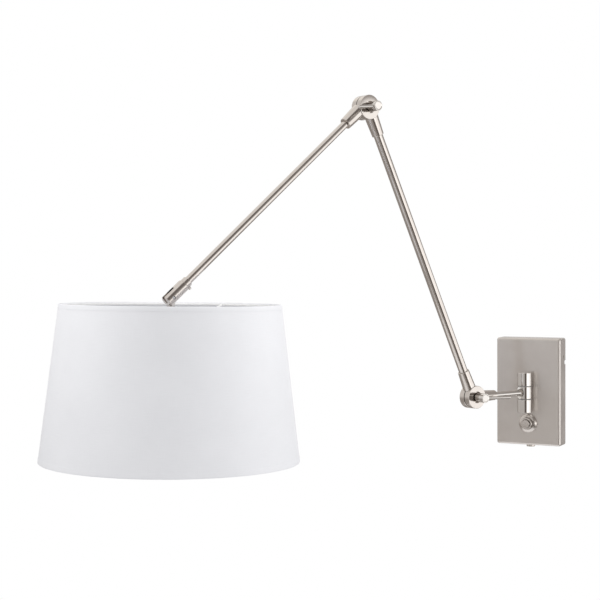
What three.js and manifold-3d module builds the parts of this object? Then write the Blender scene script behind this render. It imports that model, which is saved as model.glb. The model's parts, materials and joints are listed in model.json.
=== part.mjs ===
// Swing-arm wall lamp: a wall box with a vertical hinge, a short arm, two long arms joined by clamped
// elbows, and a drum shade on a swivel. Millimetres, +Z up. The wall is the plane Y = 0 and the room is
// on the -Y side. The origin is the centre of the wall box's back.
import * as THREE from "three";
import { mergeVertices } from "three/addons/utils/BufferGeometryUtils.js";
import Module from "manifold-3d";

const wasm = await Module();
wasm.setup();

// ---------- driving dimensions ----------
const GAP = 0.3; // clearance between pieces that touch
const CUT = 1; // how far a cutter runs past the face it opens
const SIDES = { wide: 48, large: 32, medium: 20, small: 12 }; // facets round a circle, by its size

const BOX = { width: 108, height: 176, depth: 30, sheet: 1.5, bend: 1.6, corner: 2.4 };
const PLATE = { width: 96, height: 166, sheet: 2, screwSpacing: 120, screwRadius: 2.7 };
const CABLE_HOLE = { radius: 9, height: -30 };
const SIDE_SCREW = { height: 57, fromWall: 9, headRadius: 2.5, headLength: 2.2, shankRadius: 1.5 };
const NOTCH = { height: 48, radius: 3.7, depth: 5.5 };
const THUMB_SCREW = { headRadius: 7, headLength: 3.5, shankRadius: 2 };
const TERMINAL = { x: 26, height: 8, size: [17, 14, 27], ways: 3, boreRadius: 1.8 };

const DIMMER = { height: -52, module: [32, 16, 28], bushRadius: 3.5, bushLength: 4.4 };
const FLANGE = { radius: 15.5, topRadius: 10.8, boreRadius: 9.9, length: 5.2 };
const KNOB = { radius: 9.5, length: 10.6, spindleRadius: 2 };
const BUTTON = { radius: 6.2, proud: 2.8, length: 6, travel: 1.5 };

const HINGE = { fromCover: 17.5, radius: 12, height: 65, knuckle: 20, pinRadius: 4, washer: 0.8 };
const POST = { neckRadius: 5, studRadius: 4, studEnd: -18 };
const BACKING = { width: 60, height: 72, sheet: 2.5 };
const NUT_HEX = { flat: 13, length: 5 };

const SWING_ANGLE = THREE.MathUtils.degToRad(27); // rest angle of the arms from the wall's normal
const SHORT_ARM = { reach: 115, rodRadius: 4.75 };
const ELBOW = { radius: 18, stack: 22.2, washer: 0.8, boreRadius: 4.3 };
const SLEEVE = { length: 46, rootRadius: 10.3, endRadius: 8.9, socket: 24 };
const SHORT_SLEEVE = { length: 47, rootRadius: 9.5, endRadius: 7.85, socket: 14 };
const CLAMP = { headRadius: 7.25, proud: 19.6, recess: 4, recessRadius: 9.2, screwRadius: 4 };
const LEVER = { radius: 2.5, fromEnd: 4.6 };
const LEVER_AT_REST = { lower: { length: 57, turn: 182.6 }, upper: { length: 34, turn: -5.5 } };
const CAP = { radius: 8, seat: 3.5, proud: 1.6 };

const LOWER_ARM = { length: 491, elevation: 64.26, tubeRadius: 7, wall: 1, offset: 4.4 };
const UPPER_ARM = { length: 432.8, elevation: -39.47, tubeRadius: 5.5, wall: 1, offset: 4.4 };

const FORK = { radius: 8.6, length: 35, pastPivot: 9, slot: 5.6, slotDepth: 20, socket: 8 };
const COLLAR = { radius: 7.3, length: 8 };
const SET_SCREW = { radius: 2.1, proud: 3.4 };
const SWIVEL = { pinRadius: 2, eyeRadius: 6.5, thickness: 5, stemRadius: 6, flatTo: 13.5, stemTo: 24 };

const HOLDER = { capRadius: 19.5, capTop: 24, capLength: 16, bodyRadius: 19, bodyLength: 40 };
const HOLDER_FLANGE = { radius: 27, length: 2 };
const RING_NUT = { radius: 28, length: 6 };
const HUB = { radius: 30.5, boreRadius: 20.5, thickness: 2 };
const BULB = { radius: 30, wall: 1, capRadius: 13.2, capLength: 26, glassLength: 82 };

const SHADE = { topRadius: 149, bottomRadius: 175, height: 210, below: 8.7, wall: 1.2 };
const HEAD_TILT = 0.95; // degrees that the shade leans towards the wall at rest
const WIRE = { radius: 1.5, spokes: 3 };
const TAPE = { thickness: 0.5, height: 7 };

// ---------- finishes ----------
const finish = (color, roughness, metalness) =>
  new THREE.MeshStandardMaterial({ color, roughness, metalness });

const SATIN = finish(0xb3aaa2, 0.38, 1);
const POLISHED = finish(0xc9c3bc, 0.12, 1);
const STEEL = finish(0x9a9a98, 0.45, 1);
const BRASS = finish(0xb9924a, 0.3, 1);
const FABRIC = finish(0xf2f1f4, 0.95, 0);
const WHITE_PLASTIC = finish(0xe6e4de, 0.5, 0);
const BLACK_PLASTIC = finish(0x1c1c1e, 0.5, 0);
const OPAL_GLASS = finish(0xf6f4ee, 0.25, 0);
const FIBRE = finish(0x3a3633, 0.8, 0);

// ---------- solids ----------
function solid(geometry) {
  const bare = geometry.clone();
  bare.deleteAttribute("normal");
  bare.deleteAttribute("uv");
  const merged = mergeVertices(bare, 1e-4);
  return new wasm.Manifold(
    new wasm.Mesh({
      numProp: 3,
      vertProperties: merged.attributes.position.array,
      triVerts: new Uint32Array(merged.index.array),
    }),
  );
}

function geometryOf(body) {
  const mesh = body.getMesh();
  const geometry = new THREE.BufferGeometry();
  geometry.setAttribute("position", new THREE.BufferAttribute(mesh.vertProperties, 3));
  geometry.setIndex(new THREE.BufferAttribute(mesh.triVerts, 1));
  geometry.computeVertexNormals();
  return geometry;
}

// One piece: the first geometry, joined with "add" and then cut with "cut".
function shaped(base, { add = [], cut = [] } = {}) {
  let body = solid(base);
  for (const other of add) body = body.add(solid(other));
  for (const other of cut) body = body.subtract(solid(other));
  return geometryOf(body);
}

// A turned piece about its own Y axis, from [radius, height] points that run upwards on the outside.
function turned(points, segments = SIDES.medium) {
  return new THREE.LatheGeometry(points.map(([r, h]) => new THREE.Vector2(r, h)), segments);
}

// A turned ring: outer wall up, inner wall down.
function ring(outer, inner, low, high, segments = SIDES.medium) {
  return turned([[outer, low], [outer, high], [inner, high], [inner, low], [outer, low]], segments);
}

// A round bar about Y with small chamfers at both ends.
function bar(radius, low, high, chamfer = 0, segments = SIDES.medium) {
  if (!chamfer) return turned([[0, low], [radius, low], [radius, high], [0, high]], segments);
  return turned(
    [
      [0, low],
      [radius - chamfer, low],
      [radius, low + chamfer],
      [radius, high - chamfer],
      [radius - chamfer, high],
      [0, high],
    ],
    segments,
  );
}

// Turns a piece made about Y so that its axis runs along +X, -Y or +Z (or stays on Y).
const alongX = (geometry) => geometry.rotateZ(-Math.PI / 2);
const alongZ = (geometry) => geometry.rotateX(Math.PI / 2);
const intoRoom = (geometry) => geometry.rotateX(Math.PI);

function block([x, y, z], [cx, cy, cz]) {
  return new THREE.BoxGeometry(x, y, z).translate(cx, cy, cz);
}

function hexagon(flat, low, high) {
  return turned(
    [[0, low], [flat / Math.sqrt(3), low], [flat / Math.sqrt(3), high], [0, high]],
    6,
  );
}

const add = (group, name, geometry, material) => {
  const mesh = new THREE.Mesh(geometry, material);
  mesh.name = name;
  group.add(mesh);
  return mesh;
};

// ---------- wall box ----------
const COVER_FRONT = -BOX.depth;
const COVER_INSIDE = COVER_FRONT + BOX.sheet;
const HINGE_Y = COVER_FRONT - HINGE.fromCover;
const BARREL_LENGTH = (HINGE.height - HINGE.knuckle) / 2;
const BARREL_MIDDLE = HINGE.height / 2 - BARREL_LENGTH / 2;

function roundedRectangle(width, height, radius) {
  const [x, y] = [width / 2 - radius, height / 2 - radius];
  const shape = new THREE.Shape();
  const quarter = Math.PI / 2;
  [[x, -y], [x, y], [-x, y], [-x, -y]].forEach(([cx, cy], corner) => {
    shape.absarc(cx, cy, radius, (corner - 1) * quarter, corner * quarter);
  });
  return shape;
}

function coverShell() {
  const behind = 10;
  const outer = new THREE.ExtrudeGeometry(roundedRectangle(BOX.width, BOX.height, BOX.corner), {
    depth: BOX.depth - BOX.bend + behind,
    curveSegments: 2,
    bevelThickness: BOX.bend,
    bevelSize: BOX.bend,
    bevelOffset: -BOX.bend,
    bevelSegments: 2,
  })
    .rotateX(Math.PI / 2)
    .translate(0, behind, 0);
  const inner = [BOX.width - 2 * BOX.sheet, BOX.depth - BOX.sheet + CUT, BOX.height - 2 * BOX.sheet];
  const through = 2 * BOX.sheet;
  const roomHole = (radius, height) =>
    bar(radius, -through, through, 0, SIDES.small).translate(0, COVER_FRONT, height);
  const sideHole = (side) =>
    alongX(bar(SIDE_SCREW.shankRadius + GAP, -through, through, 0, SIDES.small)).translate(
      (side * BOX.width) / 2,
      -SIDE_SCREW.fromWall,
      SIDE_SCREW.height,
    );
  const notch = alongX(bar(NOTCH.radius, -through, through, 0, SIDES.small)).translate(
    BOX.width / 2,
    -NOTCH.depth + NOTCH.radius,
    NOTCH.height,
  );
  const notchMouth = block(
    [2 * through, NOTCH.depth, 2 * NOTCH.radius],
    [BOX.width / 2, -NOTCH.depth / 2 + NOTCH.radius, NOTCH.height],
  );
  const thumbShank = bar(THUMB_SCREW.shankRadius + GAP, -through, through, 0, SIDES.small);
  const bottomHole = alongZ(thumbShank).translate(0, -BOX.depth / 2, -BOX.height / 2);
  return shaped(outer, {
    cut: [
      block([2 * BOX.width, 2 * behind, 2 * BOX.height], [0, behind, 0]),
      block(inner, [0, (COVER_INSIDE + CUT) / 2, 0]),
      roomHole(POST.studRadius + GAP, BARREL_MIDDLE),
      roomHole(POST.studRadius + GAP, -BARREL_MIDDLE),
      roomHole(DIMMER.bushRadius + GAP, DIMMER.height),
      sideHole(1),
      sideHole(-1),
      notch,
      notchMouth,
      bottomHole,
    ],
  });
}

function mountingPlate() {
  const tab = { reach: 15, width: 16 };
  const plate = block([PLATE.width, PLATE.sheet, PLATE.height], [0, -PLATE.sheet / 2, 0]);
  const sideTab = (side) =>
    block(
      [PLATE.sheet, tab.reach, tab.width],
      [side * (PLATE.width / 2 - PLATE.sheet / 2), -tab.reach / 2, SIDE_SCREW.height],
    );
  const bottomTab = block(
    [tab.width, BOX.depth * 0.75, PLATE.sheet],
    [0, -BOX.depth * 0.375, -PLATE.height / 2 + PLATE.sheet / 2],
  );
  const hole = (radius, height) =>
    bar(radius, -PLATE.sheet - CUT, CUT, 0, SIDES.small).translate(0, 0, height);
  const screwHole = alongX(
    bar(SIDE_SCREW.shankRadius + GAP, -BOX.width, BOX.width, 0, SIDES.small),
  ).translate(0, -SIDE_SCREW.fromWall, SIDE_SCREW.height);
  const thumbShank = bar(THUMB_SCREW.shankRadius + GAP, -CUT, 2 * PLATE.sheet, 0, SIDES.small);
  const thumbHole = alongZ(thumbShank).translate(0, -BOX.depth / 2, -PLATE.height / 2);
  return shaped(plate, {
    add: [sideTab(1), sideTab(-1), bottomTab],
    cut: [
      hole(PLATE.screwRadius, PLATE.screwSpacing / 2),
      hole(PLATE.screwRadius, -PLATE.screwSpacing / 2),
      hole(CABLE_HOLE.radius, CABLE_HOLE.height),
      screwHole,
      thumbHole,
    ],
  });
}

// A round-headed side screw along +X, head outwards, its seat at X = 0.
function sideScrew() {
  const { headRadius, headLength, shankRadius } = SIDE_SCREW;
  const slot = block([1.2, 0.9, 3 * headRadius], [headLength, 0, 0]);
  const body = alongX(
    turned(
      [
        [0, -11],
        [shankRadius, -11],
        [shankRadius, 0],
        [headRadius, 0],
        [headRadius, headLength * 0.5],
        [headRadius * 0.75, headLength * 0.9],
        [headRadius * 0.3, headLength],
        [0, headLength],
      ],
      SIDES.small,
    ),
  );
  return shaped(body, { cut: [slot] });
}

function thumbScrew() {
  const { headRadius, headLength, shankRadius } = THUMB_SCREW;
  const top = -BOX.height / 2 - GAP;
  return turned(
    [
      [0, top - headLength],
      [headRadius - 1, top - headLength],
      [headRadius, top - headLength + 1],
      [headRadius, top],
      [shankRadius, top],
      [shankRadius, top + 12],
      [0, top + 12],
    ],
    SIDES.medium,
  );
}

function terminalBlock() {
  const [x, y, z] = TERMINAL.size;
  const pitch = z / TERMINAL.ways;
  const cuts = [];
  for (let way = 0; way < TERMINAL.ways; way += 1) {
    const height = (way - (TERMINAL.ways - 1) / 2) * pitch;
    cuts.push(alongX(bar(TERMINAL.boreRadius, -x, x, 0, SIDES.small)).translate(0, 0, height));
    cuts.push(block([x * 2, 3, 1.4], [0, -y / 2, height + pitch / 2]));
  }
  return shaped(block([x, y, z], [0, 0, 0]), { cut: cuts });
}

function buildWallBox(root) {
  add(root, "mounting_plate", mountingPlate(), STEEL);
  add(root, "cover_shell", coverShell(), SATIN);
  for (const [name, side] of [["cover_screw_right", 1], ["cover_screw_left", -1]]) {
    const screw = add(root, name, sideScrew(), POLISHED);
    screw.position.set(side * (BOX.width / 2 + GAP), -SIDE_SCREW.fromWall, SIDE_SCREW.height);
    screw.rotation.z = side > 0 ? 0 : Math.PI;
  }
  const thumb = add(root, "thumb_screw", alongZ(thumbScrew()), SATIN);
  thumb.position.y = -BOX.depth / 2;
  const terminal = add(root, "terminal_block", terminalBlock(), WHITE_PLASTIC);
  terminal.position.set(
    TERMINAL.x,
    -PLATE.sheet - GAP - TERMINAL.size[1] / 2,
    TERMINAL.height + TERMINAL.size[2] / 2,
  );
  const earth = hexagon(7, PLATE.sheet + GAP, PLATE.sheet + GAP + 4);
  add(root, "earth_stud_nut", intoRoom(earth), BRASS).position.set(-30, 0, -30);

  const plate = block([BACKING.width, BACKING.sheet, BACKING.height], [0, 0, 0]);
  const backingY = COVER_INSIDE + GAP + BACKING.sheet / 2;
  const studHole = (height) => bar(POST.studRadius + GAP, -9, 9, 0, SIDES.small).translate(0, 0, height);
  const backing = shaped(plate, { cut: [studHole(BARREL_MIDDLE), studHole(-BARREL_MIDDLE)] });
  add(root, "hinge_backing_plate", backing, STEEL).position.y = backingY;
  for (const [name, side] of [["upper_post_nut", 1], ["lower_post_nut", -1]]) {
    const low = backingY + BACKING.sheet / 2 + GAP;
    const nut = shaped(hexagon(NUT_HEX.flat, low, low + NUT_HEX.length), {
      cut: [bar(POST.studRadius + GAP, low - CUT, low + NUT_HEX.length + CUT, 0, SIDES.small)],
    });
    add(root, name, nut, STEEL).position.z = side * BARREL_MIDDLE;
  }
}

// ---------- dimmer on the cover's front; heights run from the cover's face into the room ----------
function dimmerModule() {
  const [x, y, z] = DIMMER.module;
  const front = -BOX.sheet - GAP;
  const { bushRadius, bushLength } = DIMMER;
  return shaped(block([x, y, z], [0, front - y / 2, 0]), {
    add: [bar(bushRadius, front - 1, bushLength, 0, SIDES.small)],
    cut: [bar(KNOB.spindleRadius + GAP, front - y / 2, bushLength + CUT, 0, SIDES.small)],
  });
}

function dimmerFlange() {
  const { radius, topRadius, boreRadius, length } = FLANGE;
  return turned([
    [radius, GAP],
    [radius, GAP + 1],
    [radius - 0.6, GAP + 1.7],
    [topRadius + 0.3, GAP + length - 0.5],
    [topRadius - 0.3, GAP + length],
    [boreRadius, GAP + length],
    [boreRadius, GAP],
    [radius, GAP],
  ], SIDES.large);
}

function dimmerKnob() {
  const { radius, length } = KNOB;
  const low = 2 * GAP;
  const well = { low: length - BUTTON.length + BUTTON.proud - BUTTON.travel, radius: BUTTON.radius + GAP };
  const nutSpace = DIMMER.bushLength + GAP;
  return turned([
    [KNOB.spindleRadius + GAP, nutSpace],
    [6.6, nutSpace],
    [6.6, low],
    [radius, low],
    [radius, length - 0.9],
    [radius - 0.9, length],
    [well.radius, length],
    [well.radius, well.low],
    [KNOB.spindleRadius + GAP, well.low],
    [KNOB.spindleRadius + GAP, nutSpace],
  ], SIDES.large);
}

function dimmerNut() {
  const low = GAP;
  const high = DIMMER.bushLength - 0.8;
  return shaped(hexagon(10.5, low, high), {
    cut: [bar(DIMMER.bushRadius + GAP, low - CUT, high + CUT, 0, SIDES.small)],
  });
}

function buildDimmer(root) {
  const group = new THREE.Group();
  group.position.set(0, COVER_FRONT, DIMMER.height);
  group.rotation.x = Math.PI; // heights above run into the room
  root.add(group);
  const top = KNOB.length + BUTTON.proud;
  const spindleTop = top - BUTTON.length - BUTTON.travel - GAP;
  add(group, "dimmer_module", dimmerModule(), BLACK_PLASTIC);
  add(group, "dimmer_nut", dimmerNut(), STEEL);
  add(group, "dimmer_flange", dimmerFlange(), POLISHED);
  add(group, "dimmer_spindle", bar(KNOB.spindleRadius, -8, spindleTop, 0, SIDES.small), STEEL);
  add(group, "dimmer_knob", dimmerKnob(), POLISHED);
  add(group, "dimmer_button", bar(BUTTON.radius, top - BUTTON.length, top, 0.7, SIDES.medium), SATIN);
}

// ---------- vertical hinge ----------
function hingeBarrel(side) {
  const chamfer = 0.8;
  const low = HINGE.knuckle / 2 + HINGE.washer + GAP;
  const high = HINGE.height / 2;
  const barrel = alongZ(bar(HINGE.radius, low, high, chamfer, SIDES.large));
  const neckEnd = HINGE.fromCover - GAP;
  const neck = bar(POST.neckRadius, 0, neckEnd, 0, SIDES.medium).translate(0, 0, BARREL_MIDDLE);
  const studEnd = POST.studEnd - HINGE_Y;
  const stud = bar(POST.studRadius, 0, studEnd, 0, SIDES.small).translate(0, 0, BARREL_MIDDLE);
  const bore = alongZ(bar(HINGE.pinRadius + GAP, 0, high - 3, 0, SIDES.small));
  const body = shaped(barrel, { add: [neck, stud], cut: [bore] });
  return side > 0 ? body : body.rotateY(Math.PI);
}

function buildHinge(root) {
  const group = new THREE.Group();
  group.position.y = HINGE_Y;
  root.add(group);
  const pinEnd = HINGE.height / 2 - 3 - GAP;
  const washerLow = HINGE.knuckle / 2 + GAP / 2;
  add(group, "upper_hinge_barrel", hingeBarrel(1), POLISHED);
  add(group, "lower_hinge_barrel", hingeBarrel(-1), POLISHED);
  add(group, "hinge_pin", alongZ(bar(HINGE.pinRadius, -pinEnd, pinEnd, 0.5, SIDES.small)), STEEL);
  for (const [name, side] of [["upper_hinge_washer", 1], ["lower_hinge_washer", -1]]) {
    const washer = ring(HINGE.radius - 0.8, HINGE.pinRadius + GAP, 0, HINGE.washer);
    const low = side > 0 ? washerLow : -washerLow - HINGE.washer;
    add(group, name, alongZ(washer), STEEL).position.z = low;
  }
}

function swingKnuckle() {
  const half = HINGE.knuckle / 2 - GAP / 2;
  const barrel = alongZ(bar(HINGE.radius, -half, half, 0.8, SIDES.large));
  const bore = alongZ(bar(HINGE.pinRadius + GAP, -half - CUT, half + CUT, 0, SIDES.small));
  const dish = intoRoom(
    turned([[0, 7], [SHORT_ARM.rodRadius + 0.5, 7.5], [SHORT_ARM.rodRadius + 6, 13], [0, 13]], SIDES.medium),
  );
  const socket = intoRoom(bar(SHORT_ARM.rodRadius + GAP, 5.6, HINGE.radius + CUT, 0, SIDES.medium));
  return shaped(barrel, { cut: [bore, dish, socket] });
}

// ---------- elbows ----------
// An elbow's own frame: the arms lie in its XY plane and its Z axis is the pivot. The front disc, on the
// -Z side, carries the clamp's recess, and the back disc, on the +Z side, carries the threaded cap.
const HALF_STACK = ELBOW.stack / 2;
const LAP = ELBOW.washer / 2 + GAP;

// A half-lap bracket: one disc of the stack, and a tapered sleeve along -X whose axis lies "offset"
// above the pivot.
function elbowBracket(front, sleeve, tubeRadius, offset) {
  const slice = (radius, low, high, chamfer = 0) => {
    const piece = alongZ(bar(radius, low, high, chamfer, SIDES.large));
    return front ? piece.rotateX(Math.PI) : piece;
  };
  const disc = slice(ELBOW.radius, LAP, HALF_STACK, 0.6);
  const seat = front
    ? slice(CLAMP.recessRadius, HALF_STACK - CLAMP.recess, HALF_STACK + CUT)
    : slice(CAP.radius + GAP, HALF_STACK - CAP.seat, HALF_STACK + CUT);
  const cone = alongX(
    turned(
      [
        [0, -sleeve.length],
        [sleeve.endRadius - 0.7, -sleeve.length],
        [sleeve.endRadius, -sleeve.length + 0.7],
        [sleeve.rootRadius, -ELBOW.radius * 0.7],
        [0, -ELBOW.radius * 0.35],
      ],
      SIDES.large,
    ),
  ).translate(0, offset, 0);
  const socketEnd = -sleeve.length + sleeve.socket;
  const socket = alongX(bar(tubeRadius + GAP, -sleeve.length - CUT, socketEnd, 0, SIDES.medium));
  const cuts = [
    slice(ELBOW.radius + GAP, -2 * HALF_STACK, LAP),
    socket.translate(0, offset, 0),
    alongZ(bar(ELBOW.boreRadius, -2 * HALF_STACK, 2 * HALF_STACK, 0, SIDES.medium)),
    seat,
  ];
  return shaped(disc, { add: [cone], cut: cuts });
}

// The clamp screw along -Z: a thin screw through the stack and a round head that stands proud of the
// front disc, cross-drilled for its lever bar along +X.
const CLAMP_END = HALF_STACK + CLAMP.proud;
const LEVER_Z = CLAMP_END - LEVER.fromEnd;

function clampScrew() {
  const seat = HALF_STACK - CLAMP.recess + GAP;
  const tip = -HALF_STACK + 1;
  const body = turned(
    [
      [0, tip],
      [CLAMP.screwRadius, tip],
      [CLAMP.screwRadius, seat],
      [CLAMP.headRadius, seat],
      [CLAMP.headRadius, CLAMP_END - 0.8],
      [CLAMP.headRadius - 0.8, CLAMP_END],
      [0, CLAMP_END],
    ],
    SIDES.medium,
  );
  const hole = bar(LEVER.radius + GAP, 1.5, 2 * CLAMP.headRadius, 0, SIDES.small);
  return shaped(alongZ(body).rotateX(Math.PI), { cut: [alongX(hole).translate(0, 0, -LEVER_Z)] });
}

function leverBar(length) {
  const round = LEVER.radius * 0.55;
  const body = turned(
    [
      [0, 2],
      [LEVER.radius, 2],
      [LEVER.radius, length - round],
      [LEVER.radius * 0.8, length - round * 0.4],
      [LEVER.radius * 0.4, length],
      [0, length],
    ],
    SIDES.small,
  );
  return alongX(body).translate(0, 0, -LEVER_Z);
}

function buildClamp(plane, name, pivot) {
  const { length, turn } = LEVER_AT_REST[name];
  const clamp = elbowFrame(plane, pivot.x, pivot.y, turn);
  add(clamp, `${name}_clamp_screw`, clampScrew(), POLISHED);
  add(clamp, `${name}_clamp_lever`, leverBar(length), POLISHED);
}

function threadedCap() {
  const inner = HALF_STACK - CAP.seat + GAP;
  const outer = HALF_STACK + CAP.proud;
  const body = alongZ(
    turned([
      [0, inner],
      [CAP.radius, inner],
      [CAP.radius, outer - 0.8],
      [CAP.radius - 0.8, outer],
      [0, outer],
    ]),
  );
  const thread = alongZ(bar(CLAMP.screwRadius + GAP, 0, HALF_STACK - 0.4, 0, SIDES.medium));
  return shaped(body, { cut: [thread] });
}

const frictionWasher = () =>
  alongZ(ring(ELBOW.radius - 1.2, ELBOW.boreRadius, -ELBOW.washer / 2, ELBOW.washer / 2, SIDES.large));

// A tube along X between two stations, open at both ends, its axis "offset" above the frame's own.
const armTube = ({ tubeRadius, wall, offset }, low, high) =>
  alongX(ring(tubeRadius, tubeRadius - wall, low, high)).translate(0, offset, 0);

// ---------- arms ----------
// The plane of the arms: X away from the wall, Y up, and Z the elbows' axis.
function armPlane(swing) {
  const plane = new THREE.Group();
  const basis = new THREE.Matrix4().makeBasis(
    new THREE.Vector3(0, -1, 0),
    new THREE.Vector3(0, 0, 1),
    new THREE.Vector3(-1, 0, 0),
  );
  plane.quaternion.setFromRotationMatrix(basis);
  swing.add(plane);
  return plane;
}

function elbowFrame(parent, x, y, degrees) {
  const frame = new THREE.Group();
  frame.position.set(x, y, 0);
  frame.rotation.z = THREE.MathUtils.degToRad(degrees);
  parent.add(frame);
  return frame;
}

const tubeEnd = (sleeve) => sleeve.length - sleeve.socket + GAP;
const DEGREES = THREE.MathUtils.radToDeg(1);

function buildShortArm(plane) {
  const rodEnd = SHORT_ARM.reach - tubeEnd(SHORT_SLEEVE);
  const rod = alongX(bar(SHORT_ARM.rodRadius, 5.9, rodEnd, 0, SIDES.medium));
  const bracket = elbowBracket(true, SHORT_SLEEVE, SHORT_ARM.rodRadius, 0);
  add(plane, "short_arm_rod", rod, POLISHED);
  add(plane, "lower_elbow_front_bracket", bracket, SATIN).position.x = SHORT_ARM.reach;
}

// The lower arm: its tube's axis passes through the lower pivot, and "offset" outside the upper one.
function buildLowerArm(plane) {
  const { length, elevation, offset } = LOWER_ARM;
  const skew = Math.asin(offset / length) * DEGREES;
  const run = Math.sqrt(length ** 2 - offset ** 2);
  const frame = elbowFrame(plane, SHORT_ARM.reach, 0, elevation + skew);
  const end = tubeEnd(SLEEVE);
  const tube = armTube({ ...LOWER_ARM, offset: 0 }, end, run - end);
  const foot = elbowBracket(false, SLEEVE, LOWER_ARM.tubeRadius, 0).rotateZ(Math.PI);
  const head = elbowBracket(true, SLEEVE, LOWER_ARM.tubeRadius, offset);
  add(frame, "lower_elbow_back_bracket", foot, SATIN);
  add(frame, "lower_elbow_cap", threadedCap(), POLISHED);
  add(frame, "lower_elbow_washer", frictionWasher(), FIBRE);
  add(frame, "lower_arm_tube", tube, SATIN);
  add(frame, "upper_elbow_front_bracket", head, SATIN).position.set(run, -offset, 0);
}

// The upper arm: its tube's axis passes "offset" above the upper pivot and through the shade's swivel.
function buildUpperArm(plane, pivot) {
  const { length, elevation, offset } = UPPER_ARM;
  const skew = Math.asin(offset / length) * DEGREES;
  const run = Math.sqrt(length ** 2 - offset ** 2);
  const frame = elbowFrame(plane, pivot.x, pivot.y, elevation - skew);
  const forkStart = run + FORK.pastPivot - FORK.length;
  const tube = armTube(UPPER_ARM, tubeEnd(SLEEVE), forkStart + FORK.socket - GAP);
  const bracket = elbowBracket(false, SLEEVE, UPPER_ARM.tubeRadius, -offset).rotateZ(Math.PI);
  add(frame, "upper_elbow_back_bracket", bracket, SATIN);
  add(frame, "upper_elbow_cap", threadedCap(), POLISHED);
  add(frame, "upper_elbow_washer", frictionWasher(), FIBRE);
  add(frame, "upper_arm_tube", tube, SATIN);
  const end = new THREE.Group();
  end.position.set(run, offset, 0);
  frame.add(end);
  buildEndFitting(end);
}

// ---------- end fitting, about the swivel's pivot, with X along the arm ----------
function buildEndFitting(end) {
  const start = FORK.pastPivot - FORK.length;
  const socketRadius = UPPER_ARM.tubeRadius + GAP;
  const fork = shaped(alongX(bar(FORK.radius, start, FORK.pastPivot, 0.8, SIDES.large)), {
    cut: [
      alongX(bar(socketRadius, start - CUT, start + FORK.socket, 0, SIDES.medium)),
      block(
        [FORK.slotDepth + CUT, 3 * FORK.radius, FORK.slot],
        [FORK.pastPivot + CUT - (FORK.slotDepth + CUT) / 2, 0, 0],
      ),
      alongZ(bar(SWIVEL.pinRadius + GAP, -2 * FORK.radius, 2 * FORK.radius, 0, SIDES.small)),
    ],
  });
  const collarEnd = start - GAP;
  const screwX = collarEnd - COLLAR.length / 2;
  const screwHole = bar(SET_SCREW.radius * 0.6 + GAP, -2 * COLLAR.radius, 0, 0, SIDES.small);
  const collar = shaped(
    alongX(ring(COLLAR.radius, socketRadius, collarEnd - COLLAR.length, collarEnd)),
    { cut: [screwHole.translate(screwX, 0, 0)] },
  );
  const head = -COLLAR.radius - GAP;
  const screw = turned(
    [
      [0, head - SET_SCREW.proud],
      [SET_SCREW.radius * 0.7, head - SET_SCREW.proud],
      [SET_SCREW.radius, head - SET_SCREW.proud + 0.7],
      [SET_SCREW.radius, head],
      [SET_SCREW.radius * 0.6, head],
      [SET_SCREW.radius * 0.6, -socketRadius],
      [0, -socketRadius],
    ],
    SIDES.small,
  );
  const pinEnd = FORK.radius - 0.8;
  add(end, "end_fork", fork, SATIN);
  add(end, "end_collar", collar, SATIN);
  add(end, "collar_set_screw", screw, POLISHED).position.x = screwX;
  add(end, "swivel_pin", alongZ(bar(SWIVEL.pinRadius, -pinEnd, pinEnd, 0, SIDES.small)), STEEL);
}

// ---------- shade head, about the swivel's pivot, with Y up ----------
function swivelTongue() {
  const { eyeRadius, thickness, stemRadius, flatTo, stemTo } = SWIVEL;
  const eye = alongZ(bar(eyeRadius, -thickness / 2, thickness / 2, 0, SIDES.medium));
  const flat = block([2 * stemRadius - 2, flatTo + 1, thickness], [0, -(flatTo + 1) / 2, 0]);
  const stem = bar(stemRadius, -stemTo, -flatTo, 0.6, SIDES.medium);
  const nipple = bar(4.7, -stemTo - 7, -stemTo + 1, 0, SIDES.small);
  const pinHole = alongZ(bar(SWIVEL.pinRadius + GAP, -thickness, thickness, 0, SIDES.small));
  return shaped(eye, { add: [flat, stem, nipple], cut: [pinHole] });
}

const CAP_LOW = -HOLDER.capTop - GAP - HOLDER.capLength;
const BODY_TOP = CAP_LOW - GAP;
const HUB_TOP = BODY_TOP - HOLDER_FLANGE.length - GAP;
const NUT_TOP = HUB_TOP - HUB.thickness - GAP;
const BODY_LOW = BODY_TOP - HOLDER.bodyLength;
const THREAD_TOP = BODY_LOW + BULB.capLength;

function holderCap() {
  const { capRadius, capTop, capLength } = HOLDER;
  const top = -capTop - GAP;
  const wall = 1.6;
  return turned([
    [capRadius, top - capLength],
    [capRadius, top - 6],
    [capRadius - 2, top - 2.5],
    [capRadius - 6, top - 0.5],
    [capRadius - 8, top],
    [5.2, top],
    [5.2, top - wall],
    [capRadius - 8, top - wall],
    [capRadius - wall, top - 7],
    [capRadius - wall, top - capLength],
    [capRadius, top - capLength],
  ], SIDES.large);
}

function holderBody() {
  const { bodyRadius } = HOLDER;
  const bore = BULB.capRadius + 0.6;
  return turned([
    [0, THREAD_TOP + 3],
    [bore, THREAD_TOP + 3],
    [bore, BODY_LOW],
    [bodyRadius - 2, BODY_LOW],
    [bodyRadius, BODY_LOW + 2],
    [bodyRadius, BODY_TOP - HOLDER_FLANGE.length],
    [HOLDER_FLANGE.radius, BODY_TOP - HOLDER_FLANGE.length],
    [HOLDER_FLANGE.radius, BODY_TOP],
    [0, BODY_TOP],
  ], SIDES.large);
}

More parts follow.
